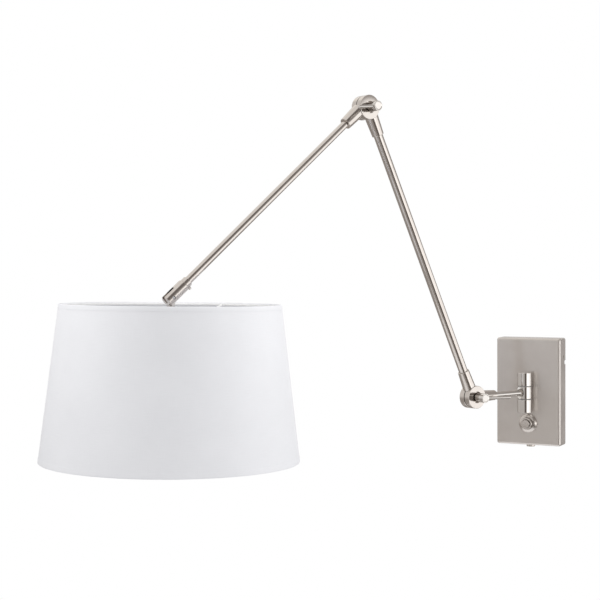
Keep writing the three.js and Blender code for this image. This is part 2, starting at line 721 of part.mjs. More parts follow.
// The bulb's shell: a hollow globe that narrows to an open neck inside the holder's mouth.
function bulbGlass() {
  const top = BODY_LOW - GAP;
  const centre = top - BULB.glassLength + BULB.radius;
  const steps = 9;
  const shoulder = THREE.MathUtils.degToRad(38);
  const wallLine = (inset) => {
    const radius = BULB.radius - inset;
    const points = [];
    for (let i = 0; i <= steps; i += 1) {
      const angle = -Math.PI / 2 + ((Math.PI / 2 + shoulder) * i) / steps;
      points.push([i ? radius * Math.cos(angle) : 0, centre + radius * Math.sin(angle)]);
    }
    points.push([BULB.capRadius + 2.5 - inset, top - 8], [BULB.capRadius + 0.6 - inset, top]);
    return points;
  };
  return turned([...wallLine(0), ...wallLine(BULB.wall).reverse()]);
}

function bulbCap() {
  const low = BODY_LOW;
  const top = THREAD_TOP;
  const points = [[0, low], [BULB.capRadius - 0.6, low]];
  const turns = 4;
  const pitch = (BULB.capLength - 7) / turns;
  for (let i = 0; i < turns; i += 1) {
    points.push([BULB.capRadius - 0.8, low + 1 + i * pitch]);
    points.push([BULB.capRadius, low + 1 + (i + 0.5) * pitch]);
  }
  points.push([BULB.capRadius - 0.8, top - 5], [5, top - 1.5], [4, top], [0, top]);
  return turned(points, SIDES.small);
}

function torus(radius, height) {
  const wire = new THREE.TorusGeometry(radius, WIRE.radius, 6, SIDES.wide);
  return wire.rotateX(Math.PI / 2).translate(0, height, 0);
}

const SHADE_TOP = -SHADE.below;
const SHADE_LOW = SHADE_TOP - SHADE.height;
const SLOPE = (SHADE.bottomRadius - SHADE.topRadius) / SHADE.height;
const shadeRadius = (height) => SHADE.topRadius + (SHADE_TOP - height) * SLOPE;
const wireRing = (height) => shadeRadius(height) - SHADE.wall - WIRE.radius - GAP;

function spider() {
  const ringHeight = SHADE_TOP - 2 * WIRE.radius;
  const reach = wireRing(ringHeight);
  const hubHeight = HUB_TOP - HUB.thickness / 2;
  const inner = HUB.radius - 1;
  const spokes = [];
  const rise = ringHeight - hubHeight;
  const length = Math.hypot(reach - inner, rise);
  for (let i = 0; i < WIRE.spokes; i += 1) {
    spokes.push(
      alongX(bar(WIRE.radius, 0, length, 0, 8))
        .rotateZ(Math.atan2(rise, reach - inner))
        .translate(inner, hubHeight, 0)
        .rotateY(((i + 0.25) * 2 * Math.PI) / WIRE.spokes),
    );
  }
  const hub = ring(HUB.radius, HUB.boreRadius, HUB_TOP - HUB.thickness, HUB_TOP, SIDES.large);
  return shaped(hub, { add: [torus(reach, ringHeight), ...spokes] });
}

function shadeShell() {
  const { topRadius, bottomRadius, wall } = SHADE;
  return turned([
    [bottomRadius, SHADE_LOW],
    [topRadius, SHADE_TOP],
    [topRadius - wall, SHADE_TOP],
    [bottomRadius - wall, SHADE_LOW],
    [bottomRadius, SHADE_LOW],
  ], SIDES.wide);
}

// A tape round one edge of the shade, on the outside.
function edgeTape(low, high) {
  const stand = GAP / 3;
  const inner = (height) => shadeRadius(height) + stand;
  return turned([
    [inner(low) + TAPE.thickness, low],
    [inner(high) + TAPE.thickness, high],
    [inner(high), high],
    [inner(low), low],
    [inner(low) + TAPE.thickness, low],
  ], SIDES.wide);
}

function buildShadeHead(plane, pivot) {
  const head = elbowFrame(plane, pivot.x, pivot.y, HEAD_TILT);
  const nut = ring(RING_NUT.radius, HUB.boreRadius - 0.5, NUT_TOP - RING_NUT.length, NUT_TOP);
  const contact = bar(6, THREAD_TOP + GAP, THREAD_TOP + 3 - GAP, 0, SIDES.small);
  const bottomWire = SHADE_LOW + 2 * WIRE.radius;
  add(head, "swivel_tongue", swivelTongue(), POLISHED);
  add(head, "holder_cap", holderCap(), SATIN);
  add(head, "holder_body", holderBody(), WHITE_PLASTIC);
  add(head, "holder_contact", contact, BRASS);
  add(head, "shade_ring_nut", nut, WHITE_PLASTIC);
  add(head, "shade_spider", spider(), WHITE_PLASTIC);
  add(head, "shade_bottom_ring", torus(wireRing(bottomWire), bottomWire), WHITE_PLASTIC);
  add(head, "shade_fabric", shadeShell(), FABRIC);
  add(head, "shade_top_tape", edgeTape(SHADE_TOP - TAPE.height, SHADE_TOP), FABRIC);
  add(head, "shade_bottom_tape", edgeTape(SHADE_LOW, SHADE_LOW + TAPE.height), FABRIC);
  add(head, "bulb_cap", bulbCap(), STEEL);
  add(head, "bulb_glass", bulbGlass(), OPAL_GLASS);
}

// ---------- assembly ----------
function pointAlong(start, length, degrees) {
  const angle = THREE.MathUtils.degToRad(degrees);
  return { x: start.x + length * Math.cos(angle), y: start.y + length * Math.sin(angle) };
}

const LOWER_ELBOW = { x: SHORT_ARM.reach, y: 0 };
const UPPER_ELBOW = pointAlong(LOWER_ELBOW, LOWER_ARM.length, LOWER_ARM.elevation);
const SWIVEL_POINT = pointAlong(UPPER_ELBOW, UPPER_ARM.length, UPPER_ARM.elevation);

const lamp = new THREE.Group();
lamp.name = "swing_arm_wall_lamp";
buildWallBox(lamp);
buildDimmer(lamp);
buildHinge(lamp);

const swing = new THREE.Group();
swing.position.y = HINGE_Y;
swing.rotation.z = -SWING_ANGLE;
lamp.add(swing);
add(swing, "swing_knuckle", swingKnuckle(), POLISHED);

const plane = armPlane(swing);
buildShortArm(plane);
buildLowerArm(plane);
buildUpperArm(plane, UPPER_ELBOW);
buildShadeHead(plane, SWIVEL_POINT);
buildClamp(plane, "lower", LOWER_ELBOW);
buildClamp(plane, "upper", UPPER_ELBOW);

export default lamp;
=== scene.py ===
"""Looks for the swing-arm wall lamp: turned and brushed nickel, and a stretched fabric drum shade."""

import json
import math

import bmesh
import bpy
from mathutils import Matrix, Vector


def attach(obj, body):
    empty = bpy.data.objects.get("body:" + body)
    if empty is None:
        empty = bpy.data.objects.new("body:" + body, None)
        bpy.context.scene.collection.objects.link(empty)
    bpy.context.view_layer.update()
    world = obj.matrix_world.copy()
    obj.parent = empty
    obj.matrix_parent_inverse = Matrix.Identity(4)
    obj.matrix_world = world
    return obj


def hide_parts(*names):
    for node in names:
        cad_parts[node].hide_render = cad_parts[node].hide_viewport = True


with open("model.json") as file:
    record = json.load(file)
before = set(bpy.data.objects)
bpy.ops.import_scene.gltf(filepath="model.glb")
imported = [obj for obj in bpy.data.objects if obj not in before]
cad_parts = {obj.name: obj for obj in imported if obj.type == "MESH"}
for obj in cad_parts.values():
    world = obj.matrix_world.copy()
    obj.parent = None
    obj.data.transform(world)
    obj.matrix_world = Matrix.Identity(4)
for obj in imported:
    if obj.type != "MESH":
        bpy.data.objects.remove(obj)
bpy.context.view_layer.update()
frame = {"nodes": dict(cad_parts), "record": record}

SLOT_OF = {row["node"]: row["material_slot"] for row in frame["record"]["subparts"]}
BODY_OF = {node: body for body, nodes in frame["record"]["behaviour"]["bodies"].items() for node in nodes}

# ---------- driving dimensions, in millimetres, as in the CAD ----------
GAP = 0.3
BOX = dict(width=108, height=176, depth=30, sheet=1.5, bend=4.2, corner=3.6, broken_edge=0.12)
SIDE_SCREW = dict(height=57, from_wall=9, radius=2.5, length=2.2, shank=1.5, driver=0.9, turned=25)
NOTCH = dict(height=48, radius=3.7, depth=5.5)
THUMB = dict(radius=7, length=3.5, shank=2, grip=0.45)
DIMMER_HEIGHT = -52
DIMMER_SHAFT = 3.5
HINGE_Y = -47.5
HINGE = dict(radius=12, height=65, knuckle=20, washer=0.8, post=21.75, neck=5, stud=4, pin=4)
SWING = -27
SHORT_ARM = dict(reach=115, rod=4.75)
ELBOW = dict(radius=18, half=11.1, lap=0.7, bore=4.3)
SLEEVE = dict(length=46, root=10.3, end=8.9, socket=24)
SHORT_SLEEVE = dict(length=47, root=9.5, end=7.85, socket=14)
CLAMP = dict(head=7.25, proud=19.6, recess=4, mouth=9.2, screw=4)
LEVER = dict(radius=2.5, from_end=4.6)
LEVER_AT_REST = dict(lower=(57, 182.6), upper=(34, -5.5))  # its length and where it points
CAP = dict(radius=8, seat=3.5, proud=1.6)
LOWER_ARM = dict(length=491, elevation=64.26, tube=7)
UPPER_ARM = dict(length=432.8, elevation=-39.47, tube=5.5)
OFFSET = 4.4
FORK = dict(radius=8.6, length=35, past=9, slot=5.6, depth=20, socket=8)
COLLAR = dict(radius=7.3, length=8)
SET_SCREW = dict(radius=2.1, shank=1.26, head=3.4)
SWIVEL_PIN = 2
TONGUE = dict(eye=6.5, thick=5, stem=6, nipple=4.7)
HOLDER = dict(radius=19, bore=13.8, mouth=18.3, flange=27)
NUT = dict(outer=28, inner=20, grips=24)
BULB = dict(radius=30, length=82, neck=15.7, cap=13.2)
HUB = dict(outer=30.5, inner=20.5, thick=2)
WIRE = 1.5
WIRE_INSET = 3  # from the shade and from its edge, to the middle of the wire
SHADE = dict(top=149, bottom=175, height=210, below=8.7)
TAPE = dict(top=6, bottom=7, stand=0.28)
HEAD_TILT = 0.95  # the shade leans a little towards the wall

# facets round a turned piece, and the angle past which an edge is drawn sharp
ROUND, SMALL_ROUND, TINY_ROUND = 96, 48, 32
SHADE_FACETS = 224
WIRE_FACETS = dict(round_ring=192, round_wire=14)
SHARP_EDGE = 32
CORNER_STEPS = 6

CAMERA = dict(place=(0.6919, -2.1748, 0.2131), heading=27.42, pitch=1.57, roll=0.29, lens=81.42)
LAMPS = {"left_lamp": ((-0.84, -1.23, 0.6), 4.4), "right_lamp": ((0.46, -0.4, 0.6), 3.3)}  # place and watts
LAMPS_AIM, LAMP_SIZE = (-0.3, -0.64, 0.05), 0.5
FLOOR = dict(place=(-180, -420, -1250), radius=1300, thick=0.5)


# ---------- places ----------
def shift(x, y, z):
    return Matrix.Translation((x, y, z))


def turn(degrees, axis):
    return Matrix.Rotation(math.radians(degrees), 4, axis)


UPRIGHT = Matrix.Identity(4)
ALONG_X = turn(90, "Y")
ALONG_Y = turn(-90, "X")
INTO_ROOM = turn(90, "X")
FLIPPED = turn(180, "X")

HINGE_PLACE = shift(0, HINGE_Y, 0)
SWING_PLACE = HINGE_PLACE @ turn(SWING, "Z")
# X away from the wall, Y up, Z the elbows' axis
ARM_PLANE = SWING_PLACE @ Matrix(((0, 0, -1, 0), (-1, 0, 0, 0), (0, 1, 0, 0), (0, 0, 0, 1)))


def point_along(start, length, degrees):
    angle = math.radians(degrees)
    return start[0] + length * math.cos(angle), start[1] + length * math.sin(angle)


E1 = (SHORT_ARM["reach"], 0)
E2 = point_along(E1, LOWER_ARM["length"], LOWER_ARM["elevation"])
E3 = point_along(E2, UPPER_ARM["length"], UPPER_ARM["elevation"])


def elbow(pivot, degrees):
    return ARM_PLANE @ shift(*pivot, 0) @ turn(degrees, "Z")


LOWER_SKEW = math.degrees(math.asin(OFFSET / LOWER_ARM["length"]))
LOWER_RUN = math.sqrt(LOWER_ARM["length"] ** 2 - OFFSET**2)
UPPER_SKEW = math.degrees(math.asin(OFFSET / UPPER_ARM["length"]))
UPPER_RUN = math.sqrt(UPPER_ARM["length"] ** 2 - OFFSET**2)
LOWER_PLACE = elbow(E1, LOWER_ARM["elevation"] + LOWER_SKEW)
UPPER_PLACE = elbow(E2, UPPER_ARM["elevation"] - UPPER_SKEW)
HEAD_PLACE = elbow(E3, HEAD_TILT)


# ---------- camera ----------
def make_camera():
    """Right of the lamp and a little above its box, looking past the hinge."""
    heading, pitch, roll = (math.radians(CAMERA[key]) for key in ("heading", "pitch", "roll"))
    right = Vector((math.cos(heading), math.sin(heading), 0))
    level = math.cos(pitch)
    ahead = Vector((-math.sin(heading) * level, math.cos(heading) * level, -math.sin(pitch)))
    up = right.cross(ahead)
    x = math.cos(roll) * right - math.sin(roll) * up
    y = math.sin(roll) * right + math.cos(roll) * up
    turned_to = Matrix((x, y, -ahead)).transposed().to_4x4()
    data = bpy.data.cameras.new("camera")
    data.lens = CAMERA["lens"]
    data.sensor_width = 36
    data.clip_start = 0.05
    camera = bpy.data.objects.new("camera", data)
    camera.matrix_world = Matrix.Translation(CAMERA["place"]) @ turned_to
    bpy.context.collection.objects.link(camera)
    bpy.context.scene.camera = camera
    return right, -ahead


CAMERA_RIGHT, CAMERA_BACK = make_camera()


# ---------- mesh work, in millimetres ----------
def rounded(points, radius, steps=3):
    """A turned profile with its corners rounded."""
    closed = points[0] == points[-1]
    core = [Vector(p) for p in (points[:-1] if closed else points)]
    out = []
    for i, here in enumerate(core):
        if not closed and i in (0, len(core) - 1):
            out.append(here)
            continue
        before, after = core[i - 1], core[(i + 1) % len(core)]
        a, b = before - here, after - here
        reach = min(radius, 0.42 * a.length, 0.42 * b.length)
        if reach < 0.02 or a.angle(b) > math.radians(172):
            out.append(here)
            continue
        start, end = here + a.normalized() * reach, here + b.normalized() * reach
        for k in range(steps + 1):
            t = k / steps
            out.append((1 - t) ** 2 * start + 2 * t * (1 - t) * here + t * t * end)
    return [tuple(p) for p in out], closed


def mesh_from(bm):
    bmesh.ops.recalc_face_normals(bm, faces=bm.faces)
    mesh = bpy.data.meshes.new("mesh")
    bm.to_mesh(mesh)
    bm.free()
    return mesh


def lathe(points, segments=64, fillet=0.35):
    """A piece turned about Z from [radius, height] points."""
    line, closed = rounded(points, fillet)
    bm = bmesh.new()
    rings = []
    for radius, height in line:
        count = 1 if radius < 1e-6 else segments
        angles = [2 * math.pi * k / segments for k in range(count)]
        rings.append([bm.verts.new((radius * math.cos(a), radius * math.sin(a), height)) for a in angles])
    pairs = list(zip(rings, rings[1:]))
    if closed:
        pairs.append((rings[-1], rings[0]))
    for low, high in pairs:
        if len(low) == 1 and len(high) == 1:
            continue
        for k in range(segments):
            j = (k + 1) % segments
            if len(low) == 1:
                bm.faces.new((low[0], high[k], high[j]))
            elif len(high) == 1:
                bm.faces.new((low[k], low[j], high[0]))
            else:
                bm.faces.new((low[k], low[j], high[j], high[k]))
    return mesh_from(bm)


def bar(radius, low, high, segments=64, fillet=0.0):
    return lathe([(0, low), (radius, low), (radius, high), (0, high)], segments, fillet)


def ring(outer, inner, low, high, segments=64, fillet=0.15):
    return lathe([(outer, low), (outer, high), (inner, high), (inner, low), (outer, low)], segments, fillet)


def block(size, centre=(0, 0, 0), bevel=0.0):
    bm = bmesh.new()
    bmesh.ops.create_cube(bm, size=1)
    for vertex in bm.verts:
        vertex.co = Vector([c * s for c, s in zip(vertex.co, size)])
    if bevel:
        bmesh.ops.bevel(bm, geom=list(bm.edges), offset=bevel, segments=3, profile=0.5, affect="EDGES")
    bmesh.ops.translate(bm, vec=centre, verts=bm.verts)
    return mesh_from(bm)


def hexagon(flat, low, high):
    return lathe([(0, low), (flat / math.sqrt(3), low), (flat / math.sqrt(3), high), (0, high)], 6, 0)


def moved(mesh, place):
    mesh.transform(place)
    return mesh


def carve(base, add=(), cut=()):
    """The base mesh joined with some meshes and cut by others."""
    body = bpy.data.objects.new("body", base)
    tools = [body]
    bpy.context.collection.objects.link(body)
    for operation, meshes in (("UNION", add), ("DIFFERENCE", cut)):
        for mesh in meshes:
            tool = bpy.data.objects.new("tool", mesh)
            bpy.context.collection.objects.link(tool)
            tools.append(tool)
            step = body.modifiers.new("shape", "BOOLEAN")
            step.operation, step.object, step.solver = operation, tool, "MANIFOLD"
    depsgraph = bpy.context.evaluated_depsgraph_get()
    made = bpy.data.meshes.new_from_object(body.evaluated_get(depsgraph))
    for tool in tools:
        bpy.data.objects.remove(tool)
    return made


def remember_place(mesh, mapped=lambda co: co):
    """Keeps each point's place in the piece's own frame, in millimetres, for the materials to read."""
    stored = mesh.attributes.new("local", "FLOAT_VECTOR", "POINT")
    for vertex, value in zip(mesh.vertices, stored.data):
        value.vector = mapped(vertex.co)


def around_rim(make, count, radius):
    """Copies of a mesh, evenly round Z."""
    return [moved(make(), turn(360 / count * k, "Z") @ shift(radius, 0, 0)) for k in range(count)]


def piece(node, mesh, place, material, mapped=None):
    """A finished piece that stands for a CAD node, on that node's body."""
    remember_place(mesh, *([mapped] if mapped else []))
    mesh.transform(Matrix.Scale(0.001, 4) @ place)
    mesh.materials.clear()
    for entry in [material] if isinstance(material, bpy.types.Material) else material:
        mesh.materials.append(entry)
    mesh.shade_smooth()
    mesh.set_sharp_from_angle(angle=math.radians(SHARP_EDGE))
    obj = bpy.data.objects.new(f"fine_{node}", mesh)
    mesh.name = obj.name
    bpy.context.collection.objects.link(obj)
    shading = obj.modifiers.new("even_shading", "WEIGHTED_NORMAL")
    shading.keep_sharp = True
    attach(obj, BODY_OF[node])
    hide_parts(node)
    return obj


# ---------- materials ----------
class Nodes:
    """Short calls for building a material's node tree."""

    def __init__(self, name):
        self.material = bpy.data.materials.new(name)
        self.material.use_nodes = True
        self.tree = self.material.node_tree
        self.shader = self.tree.nodes["Principled BSDF"]

    def set(self, **values):
        for key, value in values.items():
            self.shader.inputs[key.replace("_", " ")].default_value = value
        return self

    def feed(self, socket, target):
        if isinstance(socket, bpy.types.NodeSocket):
            self.tree.links.new(socket, target)
        else:
            target.default_value = socket

    def node(self, kind, inputs=(), **settings):
        made = self.tree.nodes.new(kind)
        for key, value in settings.items():
            setattr(made, key, value)
        for target, socket in dict(inputs).items():
            self.feed(socket, made.inputs[target])
        return made.outputs[0]

    def math(self, operation, *values):
        return self.node("ShaderNodeMath", inputs=dict(enumerate(values)), operation=operation)

    def times(self, value, factor):
        return self.math("MULTIPLY", value, factor)

    def blend(self, first, second, share):
        """A share of the first, and the rest from the second."""
        return self.math("ADD", self.times(first, share), self.times(second, 1 - share))

    def vector(self, x, y, z):
        return self.node("ShaderNodeCombineXYZ", inputs={0: x, 1: y, 2: z})

    def split(self, vector):
        made = self.tree.nodes.new("ShaderNodeSeparateXYZ")
        self.feed(vector, made.inputs[0])
        return made.outputs

    def noise(self, vector, scale, detail=3):
        inputs = {"Vector": vector, "Scale": scale, "Detail": detail, "Roughness": 0.55}
        return self.node("ShaderNodeTexNoise", inputs=inputs)

    def map(self, value, low, high, to_low, to_high):
        return self.node("ShaderNodeMapRange", inputs={0: value, 1: low, 2: high, 3: to_low, 4: to_high})

    def ramp(self, factor, dark, light):
        made = self.tree.nodes.new("ShaderNodeMix")
        made.data_type = "RGBA"
        self.feed(factor, made.inputs[0])
        made.inputs[6].default_value = (*dark, 1)
        made.inputs[7].default_value = (*light, 1)
        return made.outputs[2]

    def bump(self, height, strength, distance):
        inputs = {"Height": height, "Strength": strength, "Distance": distance}
        return self.node("ShaderNodeBump", inputs=inputs)

    def place(self, from_attribute=True):
        """The point in the piece's own frame, in millimetres."""
        if from_attribute:
            made = self.tree.nodes.new("ShaderNodeAttribute")
            made.attribute_name = "local"
            return made.outputs["Vector"]
        made = self.tree.nodes.new("ShaderNodeTexCoord")
        scaled = self.node("ShaderNodeVectorMath", inputs={0: made.outputs["Object"]}, operation="SCALE")
        scaled.node.inputs["Scale"].default_value = 1000
        return scaled

    def finish(self, colour=None, roughness=None, normal=None):
        for key, value in (("Base Color", colour), ("Roughness", roughness), ("Normal", normal)):
            if value is not None:
                self.feed(value, self.shader.inputs[key])
        return self.material


def turned_metal(name, dark, light, roughness, lines=0.05, from_attribute=True):
    """Metal turned or polished about its Z axis: fine rings on faces and fine lines round walls."""
    n = Nodes(name)
    place = n.place(from_attribute)
    x, y, z = n.split(place)
    radius = n.math("SQRT", n.math("ADD", n.times(x, x), n.times(y, y)))
    grain = n.noise(n.vector(n.times(radius, 5), n.times(z, 5), 0), 1.0, 2)
    broad = n.noise(n.vector(n.times(radius, 0.6), n.times(z, 0.6), 0), 1.0, 2)
    cloud = n.noise(place, 0.045, 3)
    worn = n.blend(grain, cloud, 0.4)
    rough = n.map(worn, 0.3, 0.7, roughness * 0.82, roughness * 1.2)
    height = n.math("ADD", grain, n.times(broad, 0.5))
    n.set(Metallic=1.0)
    colour = n.ramp(n.map(worn, 0.35, 0.65, 0, 1), dark, light)
    return n.finish(colour, rough, n.bump(height, lines, 0.00002))


def satin_sheet(name, dark, light, roughness, from_attribute=True):
    """Sheet metal with a fine satin grain and faint clouding, under clear lacquer."""
    n = Nodes(name)
    place = n.place(from_attribute)
    x, y, z = n.split(place)
    along = n.vector(n.times(x, 0.25), n.times(y, 1.5), n.times(z, 3.2))
    streak = n.noise(along, 1.0, 3)
    speck = n.noise(place, 1.1, 2)
    cloud = n.noise(place, 0.03, 3)
    grain = n.blend(streak, speck, 0.45)
    tone = n.blend(grain, cloud, 0.35)
    rough = n.map(tone, 0.3, 0.7, roughness * 0.85, roughness * 1.15)
    n.set(Metallic=1.0, Coat_Weight=1.0, Coat_Roughness=0.12, Coat_IOR=1.8)
    colour = n.ramp(n.map(tone, 0.35, 0.65, 0, 1), dark, light)
    return n.finish(colour, rough, n.bump(grain, 0.06, 0.00002))


def plastic(name, dark, light, roughness, from_attribute=True):
    n = Nodes(name)
    place = n.place(from_attribute)
    cloud = n.noise(place, 0.08, 3)
    grain = n.noise(place, 2.2, 2)
    rough = n.map(grain, 0.3, 0.7, roughness * 0.85, roughness * 1.15)
    return n.finish(n.ramp(cloud, dark, light), rough, n.bump(grain, 0.25, 0.00004))


def painted_wire(name):
    n = Nodes(name)
    place = n.place()
    drips = n.noise(place, 0.5, 3)
    colour = n.ramp(n.map(drips, 0.35, 0.65, 0, 1), (0.74, 0.74, 0.73), (0.82, 0.82, 0.81))
    n.set(Coat_Weight=0.3, Coat_Roughness=0.2)
    return n.finish(colour, n.map(drips, 0.3, 0.7, 0.32, 0.45), n.bump(drips, 0.25, 0.0002))


def woven_fabric(name, dark, light, relief):
    """Fine linen cloth: threads round the shade and up it, with slubs of uneven thickness."""
    n = Nodes(name)
    around, up, _ = n.split(n.place())
    pitch = 2 * math.pi / 0.62  # two threads in 0.62 mm
    weft = n.math("SINE", n.times(up, pitch))
    warp = n.math("SINE", n.times(around, pitch))
    basket = n.times(weft, warp)
    slub_round = n.noise(n.vector(n.times(around, 0.06), n.times(up, 1.6), 0), 1.0, 2)
    slub_up = n.noise(n.vector(n.times(around, 1.6), n.times(up, 0.06), 7), 1.0, 2)
    slub = n.blend(slub_round, slub_up, 0.6)
    cloud = n.noise(n.vector(n.times(around, 0.012), n.times(up, 0.012), 3), 1.0, 2)
    tone = n.blend(slub, cloud, 0.55)
    height = n.math("ADD", n.times(basket, 0.35), slub)
    n.set(Sheen_Weight=0.12, Sheen_Roughness=0.4, Specular_IOR_Level=0.25)
    colour = n.ramp(n.map(tone, 0.38, 0.62, 0, 1), dark, light)
    return n.finish(colour, n.map(slub, 0.3, 0.7, 0.85, 0.97), n.bump(height, relief, 0.00006))


def opal_glass(name):
    n = Nodes(name)
    cloud = n.noise(n.place(), 0.12, 3)
    n.set(Coat_Weight=0.6, Coat_Roughness=0.06, Subsurface_Weight=0.25)
    colour = n.ramp(cloud, (0.83, 0.82, 0.79), (0.9, 0.89, 0.86))
    return n.finish(colour, n.map(cloud, 0.3, 0.7, 0.2, 0.3), n.bump(cloud, 0.1, 0.0003))


NICKEL_DARK, NICKEL_LIGHT = (0.60, 0.555, 0.52), (0.66, 0.62, 0.585)
SATIN = turned_metal("satin_nickel", NICKEL_DARK, NICKEL_LIGHT, 0.14)
BRUSHED = satin_sheet("brushed_nickel", NICKEL_DARK, NICKEL_LIGHT, 0.44)
DULL = turned_metal("dull_nickel", NICKEL_DARK, NICKEL_LIGHT, 0.27)
POLISHED = turned_metal("polished_nickel", (0.66, 0.63, 0.60), (0.70, 0.675, 0.65), 0.08, 0.02)
STEEL = turned_metal("zinc_steel", (0.47, 0.47, 0.47), (0.55, 0.55, 0.56), 0.36)
FIBRE = plastic("fibre", (0.035, 0.03, 0.027), (0.06, 0.052, 0.046), 0.8)
WHITE_PLASTIC = plastic("white_plastic", (0.72, 0.71, 0.68), (0.78, 0.77, 0.74), 0.4)
WHITE_WIRE = painted_wire("white_wire")
FABRIC = woven_fabric("shade_fabric", (0.825, 0.826, 0.845), (0.865, 0.866, 0.885), 0.4)
LINING = plastic("shade_lining", (0.89, 0.89, 0.9), (0.92, 0.92, 0.93), 0.55)
OPAL = opal_glass("opal_glass")

# CAD nodes that stay: their materials read the row's own frame
CAD_STEEL = satin_sheet("cad_steel", (0.45, 0.45, 0.45), (0.56, 0.56, 0.57), 0.38, from_attribute=False)
CAD_BRASS = turned_metal("cad_brass", (0.60, 0.42, 0.17), (0.70, 0.50, 0.22), 0.28, from_attribute=False)
CAD_WHITE = plastic("cad_white_plastic", (0.70, 0.69, 0.66), (0.77, 0.76, 0.73), 0.42, from_attribute=False)
CAD_BLACK = plastic(
    "cad_black_plastic", (0.012, 0.012, 0.013), (0.022, 0.022, 0.024), 0.45, from_attribute=False
)
CAD_FINISH = {
    "steel": CAD_STEEL,
    "brass": CAD_BRASS,
    "white_plastic": CAD_WHITE,
    "black_plastic": CAD_BLACK,
}


# ---------- wall box ----------
def outline(inset, depth):
    """The box's rounded rectangle, drawn in by inset, at a depth into the room."""
    radius = max(BOX["corner"] - inset, 0.25)
    x, z = BOX["width"] / 2 - inset - radius, BOX["height"] / 2 - inset - radius
    points = []
    for corner, (cx, cz) in enumerate(((x, -z), (x, z), (-x, z), (-x, -z))):
        for k in range(CORNER_STEPS + 1):
            angle = math.radians((corner - 1) * 90 + 90 / CORNER_STEPS * k)
            points.append((cx + radius * math.cos(angle), -depth, cz + radius * math.sin(angle)))
    return points


def cover_shell():
    """A folded cover, open at the wall, with holes for the studs, the dimmer, the screws and the cord."""
    depth, sheet, bend, edge = BOX["depth"], BOX["sheet"], BOX["bend"], BOX["broken_edge"]
    sections = [(edge, 0), (0, edge)]
    for k in range(CORNER_STEPS + 1):
        angle = math.radians(90 / CORNER_STEPS * k)
        sections.append((bend * (1 - math.cos(angle)), depth - bend + bend * math.sin(angle)))
    inner = [(sheet, depth - sheet), (sheet, edge), (sheet - edge, 0)]
    bm = bmesh.new()
    rows = [[bm.verts.new(p) for p in outline(*section)] for section in sections + inner]
    count = len(rows[0])
    front = len(sections) - 1
    for i in range(len(rows)):
        if i == front:
            bm.faces.new(rows[i])
            bm.faces.new(rows[i + 1])
            continue
        low, high = rows[i], rows[(i + 1) % len(rows)]
        for k in range(count):
            j = (k + 1) % count
            bm.faces.new((low[k], low[j], high[j], high[k]))

    def hole(radius, place, segments=TINY_ROUND, half_length=4):
        return moved(bar(radius, -half_length, half_length, segments), place)

    stud, screw = HINGE["stud"] + GAP, SIDE_SCREW["shank"] + GAP
    notch_y = NOTCH["radius"] - NOTCH["depth"]
    return carve(
        mesh_from(bm),
        cut=[
            hole(stud, shift(0, -depth, HINGE["post"]) @ INTO_ROOM),
            hole(stud, shift(0, -depth, -HINGE["post"]) @ INTO_ROOM),
            hole(DIMMER_SHAFT + GAP, shift(0, -depth, DIMMER_HEIGHT) @ INTO_ROOM),
            hole(screw, shift(0, -SIDE_SCREW["from_wall"], SIDE_SCREW["height"]) @ ALONG_X, 24, 60),
            hole(NOTCH["radius"], shift(BOX["width"] / 2, notch_y, NOTCH["height"]) @ ALONG_X, SMALL_ROUND),
            hole(THUMB["shank"] + GAP, shift(0, -depth / 2, -BOX["height"] / 2), 24),
        ],
    )


def side_screw():
    """Its head stands on Z = 0, and its shank goes down from there."""
    radius, length, shank = SIDE_SCREW["radius"], SIDE_SCREW["length"], SIDE_SCREW["shank"]
    points = [
        (0, -11),
        (shank, -11),
        (shank, 0),
        (radius, 0),
        (radius, 0.9),
        (radius * 0.8, 1.8),
        (0, length),
    ]
    slot = block((SIDE_SCREW["driver"], 3 * radius, 1.5), (0, 0, length))
    return carve(lathe(points, SMALL_ROUND, 0.4), cut=[slot])


def thumb_screw():
    top = -BOX["height"] / 2 - GAP
    radius, length, shank = THUMB["radius"], THUMB["length"], THUMB["shank"]
    points = [
        (0, top - length),
        (radius, top - length),
        (radius, top),
        (shank, top),
        (shank, top + 12),
        (0, top + 12),
    ]

    def grip():
        return bar(THUMB["grip"], top - length - 1, top - 0.5, 10)

    return carve(lathe(points, fillet=0.8), cut=around_rim(grip, 24, radius + 0.15))


def build_wall_box():
    piece("cover_shell", cover_shell(), UPRIGHT, BRUSHED)
    seat = BOX["width"] / 2 + GAP
    for node, side in (("cover_screw_right", 1), ("cover_screw_left", -1)):
        place = shift(side * seat, -SIDE_SCREW["from_wall"], SIDE_SCREW["height"])
        facing = turn(90 * side, "Y") @ turn(SIDE_SCREW["turned"], "Z")
        piece(node, side_screw(), place @ facing, POLISHED)
    piece("thumb_screw", thumb_screw(), shift(0, -BOX["depth"] / 2, 0), SATIN)


def build_dimmer():
    """Heights run from the cover's face into the room."""
    place = shift(0, -BOX["depth"], DIMMER_HEIGHT) @ INTO_ROOM
    flange = lathe(
        [
            (15.5, 0.3),
            (15.5, 1.2),
            (15.1, 2.1),
            (13.9, 3.3),
            (12.5, 4.35),
            (11.1, 5.1),
            (10.4, 5.5),
            (9.9, 5.5),
            (9.9, 0.3),
            (15.5, 0.3),
        ],
        ROUND,
        0.7,
    )
    knob = lathe(
        [
            (2.3, 4.7),
            (6.6, 4.7),
            (6.6, 0.6),
            (9.5, 0.6),
            (9.5, 10.6),
            (6.5, 10.6),
            (6.5, 5.9),
            (2.3, 5.9),
            (2.3, 4.7),
        ],
        ROUND,
        1.1,
    )
    button = lathe([(0, 7.6), (6.2, 7.6), (6.2, 13.4), (0, 13.4)], 80, 0.9)
    piece("dimmer_flange", flange, place, DULL)
    piece("dimmer_knob", knob, place, DULL)
    piece("dimmer_button", button, place, DULL)


